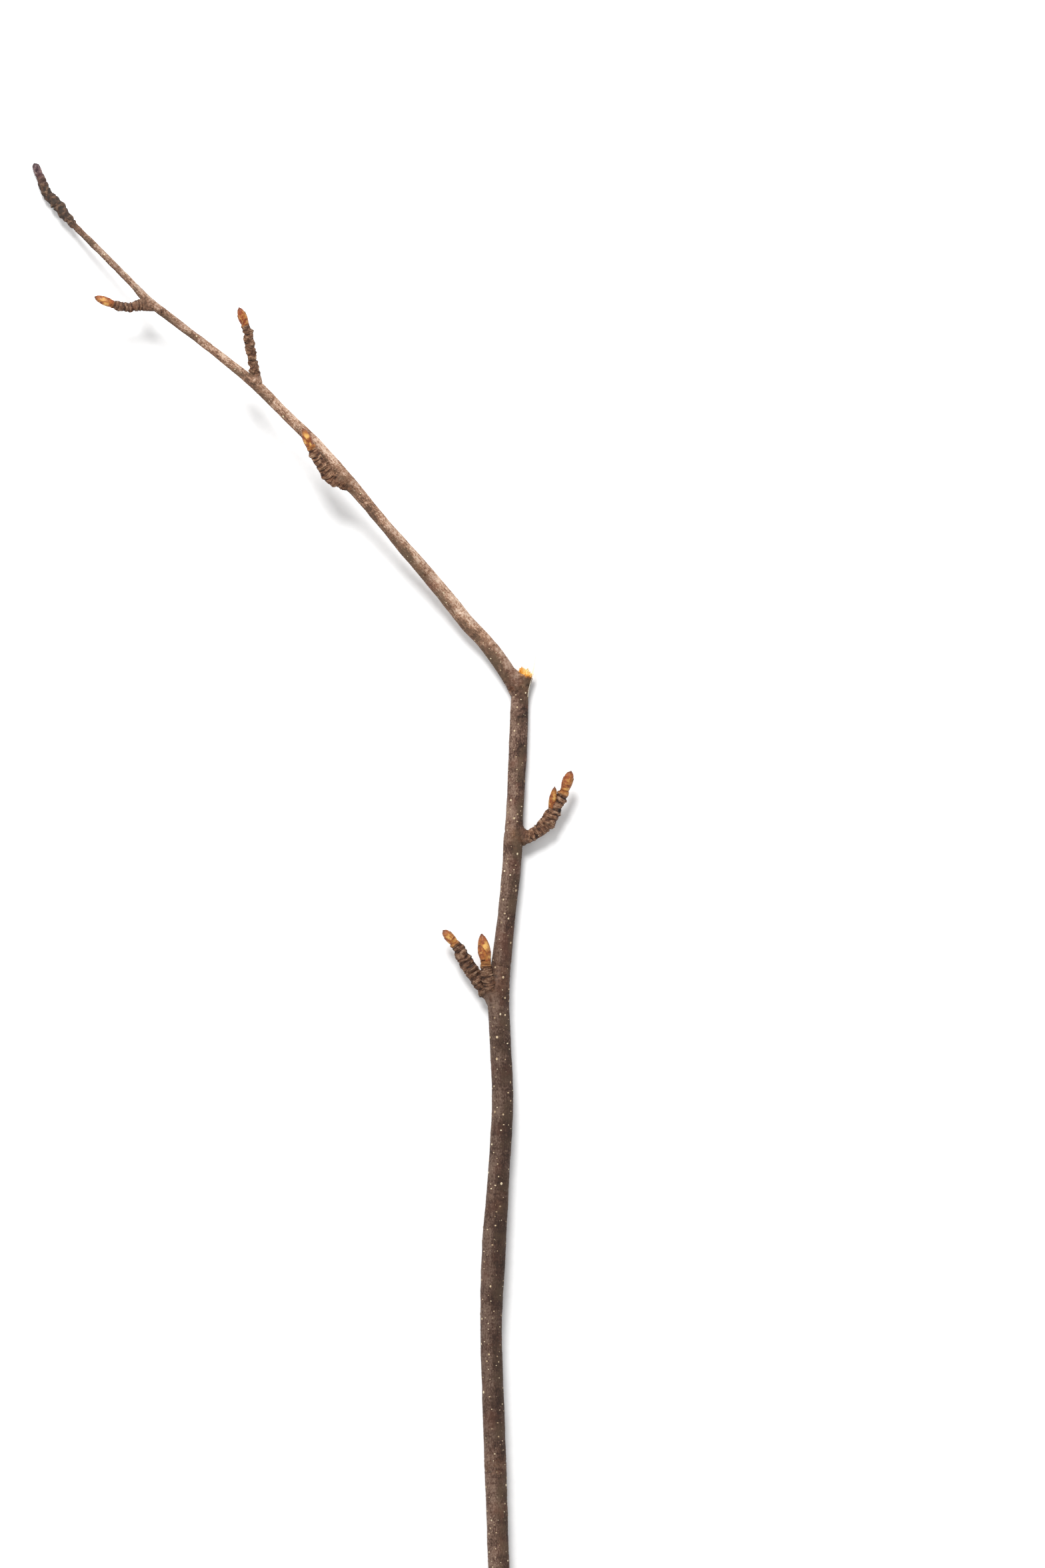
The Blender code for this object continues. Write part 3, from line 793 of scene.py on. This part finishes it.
# What it grows from, mm of it inside that, mm of its collar and of new bark at its end, its scars and path
Spur = namedtuple("Spur", "parent depth collar fresh scars stations")
SPURS = {
    "near_tip_spur": Spur("shoot", 4.0, 1.8, 1.0, Scars(6.0, 1.6, 0.19, 0.20, 5), (
        (-119.4, 122.5, 14.9, 1.6),
        (-122.3, 124.0, 14.6, 3.1),
        (-125.0, 124.4, 14.6, 3.7),
        (-126.9, 124.2, 14.8, 3.4),
        (-129.9, 123.7, 15.1, 3.2),
        (-132.6, 124.0, 15.3, 3.0),
        (-135.4, 124.9, 15.4, 2.6),
    )),
    "upright_spur": Spur("shoot", 4.4, 1.7, 0.8, Scars(6.8, 2.2, 0.30, 0.30, 1), (
        (-85.4, 95.6, 18.8, 1.4),
        (-86.6, 97.8, 19.1, 2.5),
        (-87.1, 100.2, 19.6, 3.4),
        (-87.8, 103.4, 20.6, 3.2),
        (-88.4, 106.9, 21.7, 3.2),
        (-89.3, 110.3, 22.7, 3.3),
        (-89.5, 113.8, 23.7, 3.1),
        (-90.3, 116.6, 24.5, 2.8),
        (-90.8, 118.1, 24.9, 2.4),
    )),
    "leaning_spur": Spur("shoot", 5.2, 1.6, 1.9, Scars(6.0, 1.75, 0.17, 0.26, 2), (
        (-55.0, 62.8, 15.3, 2.2),
        (-58.4, 65.4, 16.2, 3.9),
        (-61.3, 66.4, 17.2, 4.6),
        (-63.2, 68.0, 18.1, 4.2),
        (-65.2, 70.7, 19.3, 3.9),
        (-67.3, 74.2, 20.7, 3.4),
        (-68.8, 76.7, 21.5, 2.9),
        (-69.4, 77.7, 21.8, 2.6),
    )),
    "knobbed_spur": Spur("stem", 3.0, 2.6, 2.6, Scars(4.6, 2.2, 0.22, 0.42, 4), (
        (-0.4, -53.6, 3.9, 4.0),
        (3.4, -52.6, 4.1, 4.4),
        (6.2, -51.2, 4.4, 4.0),
        (8.5, -49.4, 4.8, 4.6),
        (10.6, -46.9, 5.3, 5.2),
        (12.0, -44.2, 5.8, 4.5),
        (13.5, -41.6, 6.4, 3.8),
        (15.1, -38.4, 7.1, 3.4),
        (15.8, -36.6, 7.5, 2.9),
    )),
    "tall_spur": Spur("stem", 7.6, 2.2, 3.4, Scars(9.0, 1.5, 0.12, 0.16, 6), (
        (-6.2, -113.6, 5.4, 2.6),
        (-7.0, -108.6, 5.7, 4.3),
        (-8.9, -103.2, 6.8, 4.9),
        (-10.2, -98.9, 7.9, 4.0),
        (-10.6, -95.4, 8.5, 3.6),
        (-10.8, -93.4, 8.8, 3.4),
    )),
    "slanting_spur": Spur("stem", 7.4, 2.2, 1.2, Scars(9.0, 2.1, 0.24, 0.40, 8), (
        (-6.4, -112.6, 5.2, 2.6),
        (-7.8, -107.4, 5.1, 4.1),
        (-11.0, -103.6, 4.9, 4.6),
        (-12.9, -101.1, 4.7, 4.5),
        (-15.4, -97.3, 4.9, 4.9),
        (-17.7, -93.9, 5.4, 4.7),
        (-19.6, -90.3, 6.0, 3.9),
        (-21.3, -87.9, 6.5, 3.1),
    )),
}
SPUR_STEP, SPUR_SIDES = 0.13, 60
END_ROUNDING = 0.9  # mm
parents = {"stem": stem_wood, "shoot": Wood(shoot_rings, SHOOT_NODES, shoot_start.z)}
spur_rings = {name: rings_along(spur.stations, SPUR_STEP) for name, spur in SPURS.items()}


def spur_skin(spur, rings):
    """The skin of one spur: its foot of the parent's bark, its rings, and a rounded upper end for the bud."""
    parent = parents[spur.parent]
    start = Vector((0.0, 0.0, parent.grain(rings[0].place).z))

    def skin(ring, angle):
        outward = outward_at(ring, angle)
        left = rings[-1].along - ring.along
        clear = ring.along - spur.depth
        radius = ring.radius * (0.4 + 0.6 * eased(ring.along, 0.0, 1.6))
        radius *= 0.75 + 0.25 * math.sqrt(1 - (1 - min(left, END_ROUNDING) / END_ROUNDING) ** 2)
        share = eased(ring.along, spur.depth * 0.35, spur.depth * 0.8) * eased(clear, 3.0, 1.0)
        place, above = rooted(ring, outward, radius, parent, spur.collar, share)
        above = max(above, clear - 1.0)
        free = eased(above, 0.2, 1.8)
        grain = parent.grain(place).lerp(grain_at(ring, angle) + start, eased(above, 0.2, 2.6))
        relief, mark = plain_bark(place, grain, parent.roughness(place))
        height, lip, scar = ring_scars(spur.scars, ring, angle)
        lines = noise(Vector((grain.x * 0.5, grain.y * 0.5, grain.z * 5.0)))
        lumps = (0.5 * noise(place * 0.5) + 0.25 * noise(place * 1.2)) * eased(left, 0.2, 2.6)
        scarred = height - 0.08 + lumps + cross_relief(place, grain) + 0.09 * lines
        place += outward * (relief * (1 - free) + scarred * free)
        lip = mark.lip * (1 - free) + (lip + 0.5 * lines) * free
        ringed = max(mark.ringed, eased(above + noise(place * 0.7) * 0.8, 0.2, 2.6))
        fresh = eased(left + noise(place * 1.2) * 0.5, spur.fresh, spur.fresh * 0.4)
        return place, grain, Marks(lip, 0.5 + (scar - 0.5) * free, ringed, fresh)

    return skin


for name, spur in SPURS.items():
    piece = bark_tube(name + "_bark", spur_rings[name], SPUR_SIDES, spur_skin(spur, spur_rings[name]))
    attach(piece, "root")
    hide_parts(name)

# Winter buds
# Pointed buds of overlapping scales, tan and orange with red-brown edges, a little glossy with resin. Each is
# a closed core in six curved scales, short ones at the foot and long ones that meet at the tip.

# Its spur, its foot where that isn't the spur's end, its tip and width in mm, how far its front is turned,
# how red it is, and how full its upper half is
Bud = namedtuple("Bud", "spur base tip width facing blush blunt")
BUDS = {
    "near_tip_bud": Bud("near_tip_spur", None, (-141.2, 127.2, 15.6), 3.0, 1.2, 0.2, 3.2),
    "upright_bud": Bud("upright_spur", None, (-92.8, 123.5, 26.3), 3.2, 1.75, 0.65, 2.5),
    "leaning_bud": Bud("leaning_spur", None, (-71.5, 83.4, 23.2), 3.1, 1.4, 0.0, 2.8),
    "knobbed_end_bud": Bud("knobbed_spur", None, (17.8, -30.6, 8.9), 3.7, 1.9, 0.35, 3.4),
    "tall_bud": Bud("tall_spur", None, (-12.1, -84.8, 10.0), 4.3, 1.1, 0.1, 2.2),
    "slanting_bud": Bud("slanting_spur", None, (-25.1, -83.7, 7.4), 3.3, 1.6, 0.3, 3.6),
    "knobbed_side_bud": Bud("knobbed_spur", (11.3, -42.9, 6.5), (12.4, -35.8, 8.4), 2.7, 1.3, 0.2, 2.6),
}
# One scale each: which way it faces from the bud's front, where along the bud it starts and ends, its half
# width in radians, and how many scales lie under it
SCALES = (
    (2.6, -0.05, 0.36, 1.25, 2.0),
    (-0.6, -0.06, 0.30, 1.2, 2.1),
    (-1.9, -0.02, 0.66, 1.25, 1.4),
    (1.25, 0.0, 0.60, 1.2, 1.5),
    (3.1, 0.08, 0.98, 1.35, 0.7),
    (0.0, 0.06, 1.0, 1.30, 0.9),
)
SCALE_THICKNESS = 0.1  # mm
SCALE_ROOM = 0.16  # mm round a bud's core that its scales fill
CORE_SHARE = 0.97  # how much of a bud's length its core takes
BUD_SINK = 0.1  # mm of a bud inside its spur's end


def bud_radius(share, blunt):
    """A bud's radius at a share of its length from the foot, as a share of its largest."""
    if share < 0.3:
        return 0.76 + 0.24 * eased(share, -0.1, 0.3)
    return max(0.0, 1.0 - (min(share, 1.0) / 0.7 - 3 / 7) ** blunt) ** 0.75


def bud_place(base, tip, bud, share, angle, lift):
    """Where a spot of a bud lies: at a share of its length, a turn round it and a lift off its core."""
    forward = (tip - base).normalized()
    side = forward.cross(Vector((0, 0, 1))).normalized()
    girth = bud_radius(share, bud.blunt)
    radius = girth * (bud.width / 2 - SCALE_ROOM) + lift * min(1.0, 0.25 + girth * 1.5)
    outward = side * math.cos(angle) + side.cross(forward) * math.sin(angle)
    return base + forward * share * (tip - base).length + outward * radius


def bud_finish(name, edge, dark, body, light, pale_and_highlight, red):
    """Bud scales: blotched body colour with a paler middle that is partly their own tan and partly a painted
    highlight, a dark edge and tip, and fine long veins.
    """
    scale = Finish(name, 0.45)
    scale.shader.inputs["Coat Weight"].default_value = 0.2
    scale.shader.inputs["Coat Roughness"].default_value = 0.35
    parts = scale.add("ShaderNodeSeparateXYZ", Vector=scale.where("scale"))
    across, upward, blush = parts.outputs["X"], parts.outputs["Y"], parts.outputs["Z"]
    veins = scale.cloud(scale.where("scale", (9.0, 0.9, 1.0)), 2.2, 3)
    blotches = scale.cloud(scale.where(), 520)
    mottles = scale.cloud(scale.where(shift=(0.5, 0.2, 0.1)), 1300, 3)
    tone = scale.between(scale.blend((blotches, 0.5), (mottles, 0.25), (veins, 0.25)), 0.36, 0.66)
    colour = scale.ramp(tone, (0.0, dark), (0.45, body), (0.85, light))
    # Painted highlight: the middle of each scale's upper part is made paler. This is in part the scale's own
    # tan colour.
    pale_middle_and_highlight = scale.blend((blotches, 0.8), (scale.between(upward, 0.05, 0.3), 0.2))
    pale_middle_and_highlight = scale.times(
        scale.between(pale_middle_and_highlight, 0.52, 0.68),
        scale.between(across, 0.3, 0.75, 0.9, 0.0),
        scale.between(upward, 0.5, 0.8, 1.0, 0.0),
        scale.between(blush, 0.0, 1.0, 1.0, 0.25),
    )
    reddest = scale.times(blush, scale.between(across, 0.45, 0.9, 0.75, 0.1))
    colour = scale.mixed(pale_middle_and_highlight, scale.mixed(reddest, colour, red), pale_and_highlight)
    rim = scale.blend((across, 1.0), (mottles, 0.3))
    margin = scale.mixed(blush, edge, pale_and_highlight)
    colour = scale.mixed(scale.between(rim, 0.98, 1.12, 0.0, 0.85), colour, margin)
    tip = scale.blend((upward, 1.0), (blotches, 0.5))
    colour = scale.mixed(scale.between(tip, 0.98, 1.25, 0.0, 0.8), colour, edge)
    foot = scale.blend((upward, 1.0), (mottles, 0.12))
    colour = scale.mixed(scale.between(foot, 0.06, 0.14, 0.7, 0.0), colour, edge)
    return scale.coat(colour, scale.blend((veins, 0.7), (mottles, 0.5)), 0.00014)


def add_scale(shape, base, tip, bud, turn, low, high, half, depth):
    """One curved scale, closed all round and pointed at its upper end."""
    patch = bmesh.new()
    mark = patch.verts.layers.float_vector.new("scale")
    bmesh.ops.create_grid(patch, x_segments=14, y_segments=18, size=0.5)
    for corner in patch.verts:
        across, up = corner.co.x * 2, corner.co.y + 0.5
        spread = half * (1 - up**2.6) ** 0.7
        lift = depth * SCALE_THICKNESS + 0.05 * up**3 - 0.05 * abs(across) ** 3
        corner[mark] = (abs(across), up, bud.blush)
        share = low + (high - low) * up
        corner.co = bud_place(base, tip, bud, share, bud.facing + turn + across * spread, lift) * MM
    bmesh.ops.remove_doubles(patch, verts=patch.verts, dist=1e-6)
    patch.normal_update()
    axis = (tip - base).normalized()
    facing = 0.0
    for face in patch.faces:
        apart = face.calc_center_median() / MM - base
        facing += face.normal.dot(apart - axis * apart.dot(axis)) * face.calc_area()
    if facing < 0:
        bmesh.ops.reverse_faces(patch, faces=patch.faces)
    bmesh.ops.solidify(patch, geom=list(patch.faces), thickness=SCALE_THICKNESS * MM)
    bmesh.ops.recalc_face_normals(patch, faces=patch.faces)
    add_into(shape, patch)


def make_bud(name, base, tip, bud, scales, material):
    shape = bmesh.new()
    layer = shape.verts.layers.float_vector.new("scale")
    core = bmesh.ops.create_uvsphere(shape, u_segments=24, v_segments=18, radius=1.0)
    for corner in core["verts"]:
        share = (corner.co.z + 1) / 2
        angle = math.atan2(corner.co.y, corner.co.x)
        inner = min(1.0, math.sqrt(max(0.0, 1 - corner.co.z**2)) * 1.6)
        spot = bud_place(base, tip, bud, share * CORE_SHARE, angle, 0.0)
        middle = base + (tip - base) * share * CORE_SHARE
        corner.co = (middle + (spot - middle) * inner) * MM
        corner[layer] = (0.3, share, bud.blush)
    for scale in scales:
        add_scale(shape, base, tip, bud, *scale)
    return finished(name, shape, material)


# The fifth colour is the pale tan of the scales' margins and middles; on the middles it is partly a painted
# highlight.
bud_scales = bud_finish("bud_scales", "#4d1e0e", "#743513", "#985425", "#b17534", "#deb062", "#7e2f12")
for name, bud in BUDS.items():
    tip = FORK + Vector(bud.tip)
    if bud.base:
        base = FORK + Vector(bud.base)
    else:
        spur_end = spur_rings[bud.spur][-1].place
        base = spur_end - (tip - spur_end).normalized() * BUD_SINK
    piece = make_bud(name + "_scales", base, tip, bud, SCALES, bud_scales)
    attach(piece, "root")
    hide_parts(name)

# Tip bud
# The blunt maroon bud that ends the side shoot, of three close dark scales. It touches the ground.
TIP_BUD = Bud("side_shoot", None, (-161.6, 172.3, 1.6), 2.9, 1.57, 0.5, 4.0)
TIP_BUD_SINK = 0.7  # mm of it inside the shoot's end
TIP_SCALES = (
    (2.4, -0.05, 0.55, 1.3, 1.3),
    (-1.6, 0.0, 0.8, 1.35, 0.9),
    (0.3, 0.0, 1.0, 1.4, 0.6),
)
shoot_end = shoot_rings[-1].place
tip_place = FORK + Vector(TIP_BUD.tip)
tip_base = shoot_end - (tip_place - shoot_end).normalized() * TIP_BUD_SINK
# The fifth colour paints the pale margins and a pinkish painted highlight on the middles of the dark scales.
dark_scales = bud_finish("dark_bud_scales", "#190c10", "#26151a", "#4e3538", "#7d5f5c", "#ad948e", "#351a20")
tip_bud = make_bud("tip_bud_scales", tip_base, tip_place, TIP_BUD, TIP_SCALES, dark_scales)
for corner in tip_bud.data.vertices:
    corner.co.z = max(corner.co.z, 0.0)
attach(tip_bud, "root")
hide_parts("tip_bud")

# Lenticels
# The bark's breathing pores: small raised pale lenses of cork, round or drawn out, scattered over the stem
# and, smaller, over the side shoot, with a few on the spurs.
LENTICEL_RISE, LENTICEL_SPACING = 0.09, 1.5  # mm
CLEAR_OF_SPURS, CLEAR_OF_FLOOR = 2.8, 0.4  # mm
# How many at most, and half widths of the smallest and largest, in mm
STEM_LENTICELS = (820, 0.16, 0.44)
SHOOT_LENTICELS = (220, 0.13, 0.34)
SPUR_LENTICELS = (6, 0.14, 0.24)


def lenticel_finish():
    pore = Finish("lenticel", 0.85)
    shade = pore.cloud(pore.where(), 170, 2)
    grit = pore.cloud(pore.where(), 4500, 2)
    tone = pore.between(pore.blend((shade, 0.7), (grit, 0.3)), 0.38, 0.62)
    colour = pore.ramp(tone, (0.0, "#8b745c"), (0.5, "#b7a081"), (1.0, "#dccdae"))
    middle = pore.attribute("middle").outputs["Fac"]
    colour = pore.mixed(pore.between(middle, 0.1, 0.75, 0.8, 0.0), colour, "#6f5848")
    return pore.coat(colour, grit, 0.0001)


lens_shape = bmesh.new()
bmesh.ops.create_uvsphere(lens_shape, u_segments=10, v_segments=6, radius=1.0)
lens_middle = lens_shape.verts.layers.float.new("middle")
for corner in lens_shape.verts:
    corner[lens_middle] = max(corner.co.z, 0.0)
lens = bpy.data.meshes.new("lens")
lens_shape.to_mesh(lens)
lens_shape.free()


def add_lenticels(shape, rings, skin, kind, avoid):
    """Scatters lenses over a skin, flat on it and never too close, more small ones than large ones."""
    count, least, most = kind
    taken = []
    for _ in range(count * 4):
        ring = rings[scatter.randrange(8, len(rings) - 8)]
        angle = scatter.uniform(0, math.tau)
        spot = skin(ring, angle)[0]
        close = any((spot - other).length < LENTICEL_SPACING for other in taken)
        if len(taken) == count or close or avoid(spot, ring):
            continue
        taken.append(spot)
        normal = outward_at(ring, angle)
        across = ring.forward.cross(normal).normalized()
        turn = Matrix((across, normal.cross(across), normal)).transposed().to_4x4()
        wide = least + (most - least) * scatter.random() ** 1.5
        long = wide * scatter.choice((0.6, 0.75, 0.9, 1.2))
        sized = Matrix.Diagonal((wide * MM, long * MM, LENTICEL_RISE * MM, 1.0))
        one = lens.copy()
        one.transform(Matrix.Translation(spot * MM) @ turn @ sized)
        shape.from_mesh(one)
        bpy.data.meshes.remove(one)


scatter = random.Random(21)
lenticel_shape = bmesh.new()
lenticel_shape.verts.layers.float.new("middle")
spur_places = [ring.place for rings in spur_rings.values() for ring in rings[::8]]


def near_a_spur(spot, ring):
    return spot.z < CLEAR_OF_FLOOR or any((spot - place).length < CLEAR_OF_SPURS for place in spur_places)


def off_plain_bark(spot, ring):
    return ring.along > scarred_from - 1 or stem_wood.distance(spot) < 2.5 or near_a_spur(spot, ring)


add_lenticels(lenticel_shape, stem_rings, stem_skin, STEM_LENTICELS, near_a_spur)
add_lenticels(lenticel_shape, shoot_rings, shoot_skin, SHOOT_LENTICELS, off_plain_bark)
for name, spur in SPURS.items():
    skin = spur_skin(spur, spur_rings[name])

    def in_parent(spot, ring):
        return parents[spur.parent].distance(spot) < 0.5

    add_lenticels(lenticel_shape, spur_rings[name], skin, SPUR_LENTICELS, in_parent)
bpy.data.meshes.remove(lens)
lenticels = finished("lenticels", lenticel_shape, lenticel_finish())
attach(lenticels, "root")

# Floor
# A plain pale surface that the branch lies on.
FLOOR_HALF, FLOOR_DROP = 6.0, 0.0002  # metres: half its side, and how far it lies under the branch
floor_shape = bmesh.new()
bmesh.ops.create_grid(floor_shape, x_segments=1, y_segments=1, size=FLOOR_HALF)
bmesh.ops.translate(floor_shape, verts=floor_shape.verts, vec=(0.0, 0.0, -FLOOR_DROP))
floor_paint = Finish("white_paper", 0.9)
paper = floor_paint.cloud(floor_paint.where(), 400, 3)
white = floor_paint.ramp(paper, (0.3, "#f6f6f6"), (0.7, "#fafafa"))
floor = finished("floor", floor_shape, floor_paint.coat(white, paper, 0.00002))

# Light
# One large soft light from beyond the branch's top, a weak one from the left, and an even white surround.
AIM = Vector((0.05, 0.1, 0.0))
SURROUND_STRENGTH = 0.62
for name, place, size, watts in (
    ("key_light", Vector((-0.25, 1.5, 1.7)), 0.8, 50.0),
    ("fill_light", Vector((-1.3, -0.2, 1.2)), 1.2, 5.0),
):
    light = bpy.data.lights.new(name, "AREA")
    light.shape = "DISK"
    light.size = size
    light.energy = watts
    lamp = bpy.data.objects.new(name, light)
    lamp.location = place
    lamp.rotation_euler = (AIM - place).to_track_quat("-Z", "Y").to_euler()
    bpy.context.scene.collection.objects.link(lamp)
surround = bpy.data.worlds.new("surround")
surround.use_nodes = True
backdrop = surround.node_tree.nodes["Background"]
backdrop.inputs["Color"].default_value = (1.0, 1.0, 1.0, 1.0)
backdrop.inputs["Strength"].default_value = SURROUND_STRENGTH
bpy.context.scene.world = surround
bpy.context.scene.view_settings.view_transform = "Standard"

# Camera
# Straight above, as the photo was taken, with the top of the picture towards +Y.
PHOTO_MIDDLE = FORK + Vector((1.56, -35.1, 0.0))  # mm, what the middle of the photo shows
PHOTO_HEIGHT, PHOTO_LEVEL = 522.7, 10.0  # mm that its long side covers, at this height above the floor
LENS, SENSOR = 400.0, 36.0  # mm
camera = bpy.data.cameras.new("camera")
camera.lens = LENS
camera.sensor_width = SENSOR
viewer = bpy.data.objects.new("camera", camera)
viewer.location = (PHOTO_MIDDLE + Vector((0, 0, PHOTO_LEVEL + PHOTO_HEIGHT * LENS / SENSOR))) * MM
bpy.context.scene.collection.objects.link(viewer)
bpy.context.scene.camera = viewer
